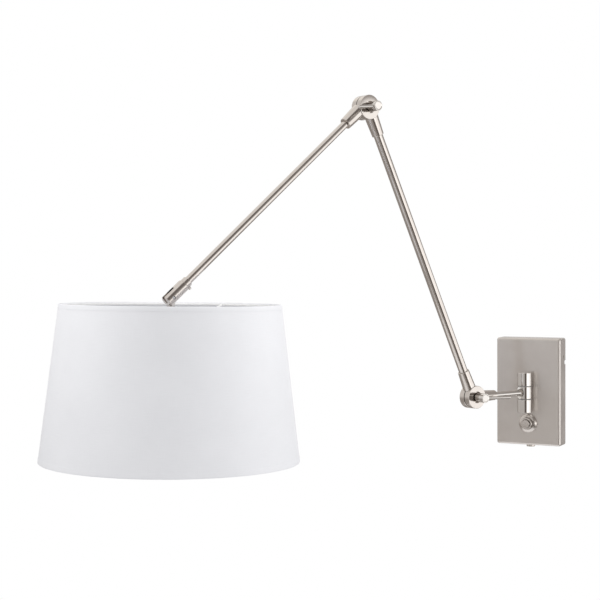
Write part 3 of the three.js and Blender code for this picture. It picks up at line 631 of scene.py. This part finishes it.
def build_hinge():
    radius, high = HINGE["radius"], HINGE["height"] / 2
    low = HINGE["knuckle"] / 2 + HINGE["washer"] + GAP
    pin_bore = HINGE["pin"] + GAP
    for node, side in (("upper_hinge_barrel", UPRIGHT), ("lower_hinge_barrel", turn(180, "Y"))):
        barrel = bar(radius, low, high, ROUND, 0.8)
        to_box = shift(0, 0, HINGE["post"]) @ ALONG_Y
        neck = moved(bar(HINGE["neck"], 0, 17.2, SMALL_ROUND, 0.3), to_box)
        stud = moved(bar(HINGE["stud"], 0, 29.5, TINY_ROUND), to_box)
        bore = bar(pin_bore, 0, high - 3, SMALL_ROUND)
        piece(node, carve(barrel, add=[neck, stud], cut=[bore]), HINGE_PLACE @ side, POLISHED)
    washer_low = HINGE["knuckle"] / 2 + GAP / 2
    washers = {"upper_hinge_washer": washer_low, "lower_hinge_washer": -washer_low - HINGE["washer"]}
    for node, base in washers.items():
        washer = ring(radius - 0.8, pin_bore, 0, HINGE["washer"])
        piece(node, washer, HINGE_PLACE @ shift(0, 0, base), STEEL)
    half = HINGE["knuckle"] / 2 - GAP / 2
    rod = SHORT_ARM["rod"]
    dish = lathe([(0, 7), (rod + 0.5, 7.5), (rod + 6, 13), (0, 13)], fillet=0.6)
    knuckle = carve(
        bar(radius, -half, half, ROUND, 0.8),
        cut=[
            bar(pin_bore, -half - 1, half + 1, SMALL_ROUND),
            moved(dish, INTO_ROOM),
            moved(bar(rod + GAP, 5.6, radius + 1), INTO_ROOM),
        ],
    )
    piece("swing_knuckle", knuckle, SWING_PLACE, POLISHED)


# ---------- elbows: the arms lie in XY, the pivot is Z, and the front is -Z ----------
def elbow_bracket(front, sleeve, tube, offset):
    """Half of an elbow: a domed disc with a tapered sleeve that takes a tube."""
    facing = FLIPPED if front else UPRIGHT
    half, lap = ELBOW["half"], ELBOW["lap"]

    def across(radius, low, high):
        return moved(bar(radius, low, high, ROUND), facing)

    rim = ELBOW["radius"]
    profile = [
        (0, -sleeve["length"]),
        (sleeve["end"], -sleeve["length"]),
        (sleeve["root"], -rim * 0.7),
        (0, -rim * 0.35),
    ]
    along_tube = shift(0, offset, 0) @ ALONG_X
    cone = moved(lathe(profile, ROUND, 0.9), along_tube)
    socket_end = -sleeve["length"] + sleeve["socket"]
    socket = moved(bar(tube + GAP, -sleeve["length"] - 1, socket_end), along_tube)
    if front:
        seat = across(CLAMP["mouth"], half - CLAMP["recess"], half + 1)
    else:
        seat = across(CAP["radius"] + GAP, half - CAP["seat"], half + 1)
    domed = [(0, lap), (rim, lap), (rim, half - 0.35), (rim * 0.75, half - 0.1), (0, half)]
    disc = lathe(domed, ROUND, 0.8)
    return carve(
        moved(disc, facing),
        add=[cone],
        cut=[
            across(rim + GAP, -2 * half, lap),
            socket,
            across(ELBOW["bore"], -2 * half, 2 * half),
            seat,
        ],
    )


def clamp_screw():
    half = ELBOW["half"]
    seat, end, tip = half - CLAMP["recess"] + GAP, half + CLAMP["proud"], -half + 1
    head = CLAMP["head"]
    points = [
        (0, tip),
        (CLAMP["screw"], tip),
        (CLAMP["screw"], seat),
        (head, seat),
        (head, end),
        (head - 1.3, end),
        (head - 1.9, end - 0.3),
        (0, end - 0.3),
    ]
    return lathe(points, ROUND, 0.9)


def lever_bar(length):
    return bar(LEVER["radius"], 2, length, SMALL_ROUND, 1.5)


def threaded_cap():
    inner, outer = ELBOW["half"] - CAP["seat"] + GAP, ELBOW["half"] + CAP["proud"]
    cap = bar(CAP["radius"], inner, outer, 80, 0.7)
    return carve(cap, cut=[bar(ELBOW["bore"], 0, ELBOW["half"] - 0.4, SMALL_ROUND)])


def build_clamp(name, pivot):
    length, points_to = LEVER_AT_REST[name]
    place = elbow(pivot, points_to)
    piece(f"{name}_clamp_screw", clamp_screw(), place @ FLIPPED, POLISHED)
    lever_z = ELBOW["half"] + CLAMP["proud"] - LEVER["from_end"]
    lever_place = place @ shift(0, 0, -lever_z) @ ALONG_X
    piece(f"{name}_clamp_lever", lever_bar(length), lever_place, POLISHED)


def tube(radius, low, high):
    """An arm's tube, with a wall of 1 mm."""
    return ring(radius, radius - 1, low, high, ROUND, 0.2)


def friction_washer():
    return ring(ELBOW["radius"] - 1.2, ELBOW["bore"], -0.4, 0.4, ROUND)


def tube_end(sleeve):
    """How far from the pivot the tube in a sleeve starts."""
    return sleeve["length"] - sleeve["socket"] + GAP


def build_arms():
    half_turn = turn(180, "Z")
    reach = SHORT_ARM["reach"]
    rod = bar(SHORT_ARM["rod"], 5.9, reach - tube_end(SHORT_SLEEVE), ROUND)
    piece("short_arm_rod", rod, ARM_PLANE @ ALONG_X, POLISHED)
    bracket = elbow_bracket(True, SHORT_SLEEVE, SHORT_ARM["rod"], 0)
    piece("lower_elbow_front_bracket", bracket, elbow(E1, 0), SATIN)

    end = tube_end(SLEEVE)
    bracket = elbow_bracket(False, SLEEVE, LOWER_ARM["tube"], 0)
    piece("lower_elbow_back_bracket", bracket, LOWER_PLACE @ half_turn, SATIN)
    piece("lower_elbow_cap", threaded_cap(), LOWER_PLACE, POLISHED)
    piece("lower_elbow_washer", friction_washer(), LOWER_PLACE, FIBRE)
    piece("lower_arm_tube", tube(LOWER_ARM["tube"], end, LOWER_RUN - end), LOWER_PLACE @ ALONG_X, SATIN)
    head = elbow_bracket(True, SLEEVE, LOWER_ARM["tube"], OFFSET)
    piece("upper_elbow_front_bracket", head, LOWER_PLACE @ shift(LOWER_RUN, -OFFSET, 0), SATIN)

    foot = elbow_bracket(False, SLEEVE, UPPER_ARM["tube"], -OFFSET)
    piece("upper_elbow_back_bracket", foot, UPPER_PLACE @ half_turn, SATIN)
    piece("upper_elbow_cap", threaded_cap(), UPPER_PLACE, POLISHED)
    piece("upper_elbow_washer", friction_washer(), UPPER_PLACE, FIBRE)
    fork_start = UPPER_RUN + FORK["past"] - FORK["length"]
    upper_tube = tube(UPPER_ARM["tube"], end, fork_start + FORK["socket"] - GAP)
    piece("upper_arm_tube", upper_tube, UPPER_PLACE @ shift(0, OFFSET, 0) @ ALONG_X, SATIN)


def build_end_fitting():
    """About the swivel's pivot, with X along the arm."""
    place = UPPER_PLACE @ shift(UPPER_RUN, OFFSET, 0)
    start, past = FORK["past"] - FORK["length"], FORK["past"]
    socket = UPPER_ARM["tube"] + GAP
    slot_depth = FORK["depth"] + 1
    fork = carve(
        moved(bar(FORK["radius"], start, past, ROUND, 1.0), ALONG_X),
        cut=[
            moved(bar(socket, start - 1, start + FORK["socket"]), ALONG_X),
            block((slot_depth, 3 * FORK["radius"], FORK["slot"]), (past + 1 - slot_depth / 2, 0, 0)),
            bar(SWIVEL_PIN + GAP, -18, 18, TINY_ROUND),
        ],
    )
    collar_end = start - GAP
    collar = ring(COLLAR["radius"], socket, collar_end - COLLAR["length"], collar_end, ROUND, 0.5)
    screw_x = collar_end - COLLAR["length"] / 2
    top = COLLAR["radius"] + GAP
    shank, head, head_top = SET_SCREW["shank"], SET_SCREW["radius"], top + SET_SCREW["head"]
    outline_of_screw = [(0, 5.8), (shank, 5.8), (shank, top), (head, top), (head, head_top), (0, head_top)]
    screw = carve(lathe(outline_of_screw, SMALL_ROUND, 0.7), cut=[hexagon(2, top + 2, top + 5)])
    piece("end_fork", fork, place, SATIN)
    piece("end_collar", collar, place @ ALONG_X, SATIN)
    piece("collar_set_screw", screw, place @ shift(screw_x, 0, 0) @ INTO_ROOM, POLISHED)
    pin_end = FORK["radius"] - 0.8
    pin = bar(SWIVEL_PIN, -pin_end, pin_end, TINY_ROUND, 0.3)
    piece("swivel_pin", pin, place, STEEL)


# ---------- shade head, about the swivel's pivot ----------
BODY_TOP = -40.6
HUB_TOP = BODY_TOP - 2.3
NUT_TOP = HUB_TOP - 2.3
BODY_LOW = BODY_TOP - 40
THREAD_TOP = BODY_LOW + 26
SHADE_TOP = -SHADE["below"]
SHADE_LOW = SHADE_TOP - SHADE["height"]
SLOPE = (SHADE["bottom"] - SHADE["top"]) / SHADE["height"]


def shade_radius(height):
    return SHADE["top"] + (SHADE_TOP - height) * SLOPE


def swivel_tongue():
    """Built with its pin along Y and its stem down Z."""
    thick = TONGUE["thick"]
    eye = moved(bar(TONGUE["eye"], -thick / 2, thick / 2, fillet=0.4), ALONG_Y)
    flat = block((10, thick, 14.5), (0, 0, -7.25), 0.4)
    stem = bar(TONGUE["stem"], -24, -13.5, fillet=0.6)
    nipple = bar(TONGUE["nipple"], -31, -23, TINY_ROUND)
    bore = moved(bar(SWIVEL_PIN + GAP, -thick, thick, TINY_ROUND), ALONG_Y)
    return carve(eye, add=[flat, stem, nipple], cut=[bore])


def ridged(radius, low, high, pitch, depth):
    """The outer wall of a threaded barrel, from low to high."""
    count = int(round((high - low) / pitch))
    points = []
    for k in range(count):
        base = low + k * pitch
        points += [(radius - depth, base), (radius, base + pitch * 0.5)]
    return points + [(radius - depth, high)]


def holder_body():
    radius, bore, mouth, flange = (HOLDER[key] for key in ("radius", "bore", "mouth", "flange"))
    points = [(0, THREAD_TOP + 3), (bore, THREAD_TOP + 3), (bore, BODY_LOW)]
    points += [(17.6, BODY_LOW), (mouth, BODY_LOW + 1.5)]
    points += ridged(radius, BODY_LOW + 3, BODY_TOP - 3, 2.0, 0.7)
    points += [(radius, BODY_TOP - 2), (flange, BODY_TOP - 2), (flange, BODY_TOP), (0, BODY_TOP)]
    return lathe(points, ROUND, 0.3)


def ring_nut():
    def grip():
        return bar(1.3, NUT_TOP - 8, NUT_TOP + 1, 12)

    nut = ring(NUT["outer"], NUT["inner"], NUT_TOP - 6, NUT_TOP, ROUND, 0.6)
    return carve(nut, cut=around_rim(grip, NUT["grips"], NUT["outer"] + 0.5))


def holder_cap():
    top = -24.3
    points = [
        (19.5, top - 16),
        (19.5, top - 6),
        (17.5, top - 2.5),
        (13.5, top - 0.5),
        (11.5, top),
        (5.2, top),
        (5.2, top - 1.6),
        (11.5, top - 1.6),
        (17.9, top - 7),
        (17.9, top - 16),
        (19.5, top - 16),
    ]
    return lathe(points, ROUND, 1.2)


def bulb_glass():
    """A globe of 1 mm glass that narrows to its neck."""
    top = BODY_LOW - GAP
    centre = top - BULB["length"] + BULB["radius"]

    def wall(inset):
        radius = BULB["radius"] - inset
        points = []
        for i in range(29):
            angle = -math.pi / 2 + (math.pi / 2 + math.radians(38)) * i / 28
            points.append((radius * math.cos(angle) if i else 0, centre + radius * math.sin(angle)))
        neck = [(HOLDER["mouth"], top - 16), (BULB["neck"], top - 8), (HOLDER["bore"], top)]
        return points + [(wide - inset, height) for wide, height in neck]

    return lathe(wall(0) + wall(1)[::-1], ROUND, 1.0)


def bulb_cap():
    points = [(0, BODY_LOW), (12.6, BODY_LOW), (12.4, BODY_LOW + 1)]
    points += ridged(BULB["cap"], BODY_LOW + 1.5, THREAD_TOP - 6, 3.7, 0.9)
    return lathe(points + [(5, THREAD_TOP - 1.5), (4, THREAD_TOP), (0, THREAD_TOP)], fillet=0.8)


def wire_ring(radius, height):
    segments, sides = WIRE_FACETS["round_ring"], WIRE_FACETS["round_wire"]
    bm = bmesh.new()
    rows = []
    for i in range(segments):
        angle = 2 * math.pi * i / segments
        row = []
        for k in range(sides):
            around = 2 * math.pi * k / sides
            out, up = radius + WIRE * math.cos(around), height + WIRE * math.sin(around)
            row.append(bm.verts.new((out * math.cos(angle), out * math.sin(angle), up)))
        rows.append(row)
    for i in range(segments):
        a, b = rows[i], rows[(i + 1) % segments]
        for k in range(sides):
            bm.faces.new((a[k], a[(k + 1) % sides], b[(k + 1) % sides], b[k]))
    return mesh_from(bm)


def spider():
    """The shade's upper wire ring, three spokes, and the flat hub that the nut holds."""
    ring_height = SHADE_TOP - WIRE_INSET
    reach = shade_radius(ring_height) - WIRE_INSET
    hub_height = HUB_TOP - HUB["thick"] / 2
    inner = HUB["outer"] - 1
    rise, run = ring_height - hub_height, reach - inner
    spokes = []
    for i in range(3):
        spoke = bar(WIRE, 0, math.hypot(run, rise), 16)
        slant = turn(-math.degrees(math.atan2(rise, run)), "Y")
        foot = turn(-30 - 120 * i, "Z") @ shift(inner, 0, hub_height)
        spokes.append(moved(spoke, foot @ slant @ ALONG_X))
    hub = ring(HUB["outer"], HUB["inner"], HUB_TOP - HUB["thick"], HUB_TOP, ROUND, 0.5)
    return carve(hub, add=[wire_ring(reach, ring_height), *spokes])


def along_cloth(co):
    """Round the shade, up it, and out, in millimetres."""
    mean_radius = (SHADE["top"] + SHADE["bottom"]) / 2
    return (math.atan2(co.y, co.x) * mean_radius, co.z, math.hypot(co.x, co.y))


def shade_cloth(wall=1.0):
    """A stiff-backed drum: fabric outside, smooth lining inside."""
    rows, segments = 28, SHADE_FACETS
    bm = bmesh.new()
    outer, inner = [], []
    for i in range(rows + 1):
        height = SHADE_LOW + SHADE["height"] * i / rows
        for wall_rows, radius in ((outer, shade_radius(height)), (inner, shade_radius(height) - wall)):
            ringed = []
            for k in range(segments):
                angle = 2 * math.pi * k / segments
                ringed.append(bm.verts.new((radius * math.cos(angle), radius * math.sin(angle), height)))
            wall_rows.append(ringed)

    def skin(low, high, index):
        for k in range(segments):
            j = (k + 1) % segments
            bm.faces.new((low[k], low[j], high[j], high[k])).material_index = index

    for i in range(rows):
        skin(outer[i], outer[i + 1], 0)
        skin(inner[i], inner[i + 1], 1)
    skin(outer[0], inner[0], 0)
    skin(outer[-1], inner[-1], 0)
    return mesh_from(bm)


def rolled_trim(edge, depth):
    """Fabric turned over an edge of the shade: a strip down the outside and a narrower one inside."""
    down = -1 if edge == SHADE_TOP else 1
    stand = TAPE["stand"]

    def at(distance, out):
        height = edge + down * distance
        return (shade_radius(height) + out, height)

    points = [
        at(depth, 0.1),
        at(depth, stand * 0.9),
        at(depth * 0.5, stand),
        at(1.2, stand),
        at(0.0, stand * 0.55),
        at(0.0, -1.1),
        at(1.2, -1.5),
        at(depth * 0.7, -1.45),
        at(depth * 0.7, -1.1),
        at(0.5, -0.9),
        at(0.5, 0.1),
        at(depth, 0.1),
    ]
    return lathe(points, SHADE_FACETS, 0.5)


def build_shade_head():
    upright = HEAD_PLACE @ ALONG_Y
    piece("swivel_tongue", swivel_tongue(), upright, POLISHED)
    piece("holder_cap", holder_cap(), upright, SATIN)
    piece("holder_body", holder_body(), upright, WHITE_PLASTIC)
    piece("shade_ring_nut", ring_nut(), upright, WHITE_PLASTIC)
    piece("shade_spider", spider(), upright, WHITE_WIRE)
    piece("bulb_cap", bulb_cap(), upright, STEEL)
    piece("bulb_glass", bulb_glass(), upright, OPAL)
    low_wire = SHADE_LOW + WIRE_INSET
    bottom_ring = wire_ring(shade_radius(low_wire) - WIRE_INSET, low_wire)
    piece("shade_bottom_ring", bottom_ring, upright, WHITE_WIRE)
    cloth = piece("shade_fabric", shade_cloth(), upright, [FABRIC, LINING], mapped=along_cloth)
    top_tape, bottom_tape = rolled_trim(SHADE_TOP, TAPE["top"]), rolled_trim(SHADE_LOW, TAPE["bottom"])
    top = piece("shade_top_tape", top_tape, upright, FABRIC, mapped=along_cloth)
    bottom = piece("shade_bottom_tape", bottom_tape, upright, FABRIC, mapped=along_cloth)


build_wall_box()
build_dimmer()
build_hinge()
build_arms()
build_clamp("lower", E1)
build_clamp("upper", E2)
build_end_fitting()
build_shade_head()

# the CAD nodes that no finer piece replaces get their materials here
for node, obj in frame["nodes"].items():
    finish = CAD_FINISH.get(SLOT_OF[node])
    if finish and not obj.hide_render:
        for index in range(len(obj.material_slots)):
            obj.material_slots[index].material = finish


# ---------- light, floor and background ----------
def studio_light():
    """White behind the lamp; reflections and soft light each have their own panels round it.

    The panels stand where a studio's do, fixed in the room, and two lamps above add the shadows.
    """
    world = bpy.data.worlds.new("studio")
    world.use_nodes = True
    bpy.context.scene.world = world
    tree = world.node_tree
    tree.nodes.clear()

    def node(kind, inputs=(), **settings):
        made = tree.nodes.new(kind)
        for key, value in settings.items():
            setattr(made, key, value)
        for target, value in dict(inputs).items():
            if isinstance(value, bpy.types.NodeSocket):
                tree.links.new(value, made.inputs[target])
            else:
                made.inputs[target].default_value = value
        return made

    def calc(operation, *values):
        return node("ShaderNodeMath", dict(enumerate(values)), operation=operation).outputs[0]

    ray = node("ShaderNodeTexCoord").outputs["Generated"]

    def dot(axis):
        made = node("ShaderNodeVectorMath", {0: ray, 1: tuple(axis)}, operation="DOT_PRODUCT")
        return made.outputs["Value"]

    front = Vector((CAMERA_BACK.x, CAMERA_BACK.y, 0)).normalized()
    degrees = 180 / math.pi
    around = calc("MULTIPLY", calc("ARCTAN2", dot(CAMERA_RIGHT), dot(front)), degrees)
    above = calc("MULTIPLY", calc("ARCSINE", dot((0, 0, 1))), degrees)

    def step(value, edge, soft):
        inputs = {0: value, 1: edge - soft, 2: edge + soft}
        return node("ShaderNodeMapRange", inputs, interpolation_type="SMOOTHSTEP").outputs[0]

    def window(value, low, high, soft):
        return calc("MULTIPLY", step(value, low, soft), calc("SUBTRACT", 1, step(value, high, soft)))

    def light_field(light, panels):
        """Panels are from, to (degrees right of the camera), from, to (degrees up), softness and light."""
        for low, high, down, up, soft, colour in panels:
            mix = node("ShaderNodeMix", data_type="RGBA")
            panel = calc("MULTIPLY", window(around, low, high, soft), window(above, down, up, soft))
            tree.links.new(panel, mix.inputs[0])
            if isinstance(light, bpy.types.NodeSocket):
                tree.links.new(light, mix.inputs[6])
            else:
                mix.inputs[6].default_value = (*light, 1)
            mix.inputs[7].default_value = (*colour, 1)
            light = mix.outputs[2]
        return light

    mirrored = light_field(
        (0.60, 0.575, 0.555),
        [
            (-185, 185, -95, -12, 6, (0.40, 0.375, 0.355)),
            (-185, 15, -2, 95, 5, (0.81, 0.79, 0.77)),
            (12, 134, 8.5, 58, 2, (0.44, 0.415, 0.40)),
            (-185, -130, 30, 95, 8, (1.1, 1.07, 1.02)),
            (-185, 185, 60, 95, 4, (0.98, 0.96, 0.935)),
            (5, 50, 24, 60, 4, (0.20, 0.18, 0.17)),
            (24, 112, -20, 7.5, 1.5, (1.85, 1.84, 1.82)),
            (52, 112, -20, 7.5, 5, (1.42, 1.41, 1.40)),
            (112, 140, -62, 14, 2, (0.36, 0.34, 0.33)),
            (36, 112, -62, -21, 2, (0.27, 0.25, 0.235)),
            (3, 36, -64, -12, 3, (0.16, 0.14, 0.13)),
            (-10, 17, -12, 16, 3, (0.14, 0.12, 0.11)),
            (-185, -134, -40, 0, 4, (0.33, 0.30, 0.28)),
            (140, 185, -40, 0, 4, (0.33, 0.30, 0.28)),
        ],
    )
    shading = light_field(
        (0.20, 0.20, 0.202),
        [
            (-30, 20, -40, 55, 10, (1.04, 1.04, 1.05)),
            (20, 150, -40, 55, 10, (0.60, 0.602, 0.61)),
            (-185, -135, -40, 55, 10, (0.72, 0.722, 0.73)),
            (150, 185, -40, 55, 10, (0.72, 0.722, 0.73)),
            (-185, 185, 55, 95, 8, (1.42, 1.42, 1.43)),
        ],
    )
    seen = node("ShaderNodeBackground", {0: (1, 1, 1, 1), 1: 1.0}).outputs[0]
    soft_light = node("ShaderNodeBackground", {0: shading, 1: 1.0}).outputs[0]
    sharp_light = node("ShaderNodeBackground", {0: mirrored, 1: 1.0}).outputs[0]
    path = node("ShaderNodeLightPath").outputs
    cast = node("ShaderNodeMixShader", {0: path["Is Glossy Ray"], 1: soft_light, 2: sharp_light}).outputs[0]
    both = node("ShaderNodeMixShader", {0: path["Is Camera Ray"], 1: cast, 2: seen}).outputs[0]
    tree.links.new(both, node("ShaderNodeOutputWorld").inputs[0])
    world.cycles.sampling_method = "NONE"

    for name, (place, watts) in LAMPS.items():
        lamp = bpy.data.lights.new(name, "AREA")
        lamp.shape, lamp.size, lamp.energy = "DISK", LAMP_SIZE, watts
        holder = bpy.data.objects.new(name, lamp)
        holder.location = place
        aim = Vector(LAMPS_AIM) - holder.location
        holder.rotation_mode = "QUATERNION"
        holder.rotation_quaternion = aim.to_track_quat("-Z", "Y")
        holder.visible_glossy = False
        holder.visible_camera = False
        bpy.context.collection.objects.link(holder)


def make_floor():
    """A pale disc well below the lamp."""
    n = Nodes("pale_floor")
    cloud = n.noise(n.place(False), 0.004, 3)
    material = n.finish(n.ramp(cloud, (0.86, 0.86, 0.86), (0.9, 0.9, 0.9)), 0.7)
    n.set(Emission_Strength=0.22)
    mesh = bar(FLOOR["radius"], -FLOOR["thick"], 0, ROUND)
    mesh.transform(Matrix.Scale(0.001, 4) @ shift(*FLOOR["place"]))
    mesh.materials.append(material)
    floor = bpy.data.objects.new("floor", mesh)
    bpy.context.collection.objects.link(floor)


studio_light()
make_floor()
bpy.context.scene.view_settings.view_transform = "Standard"
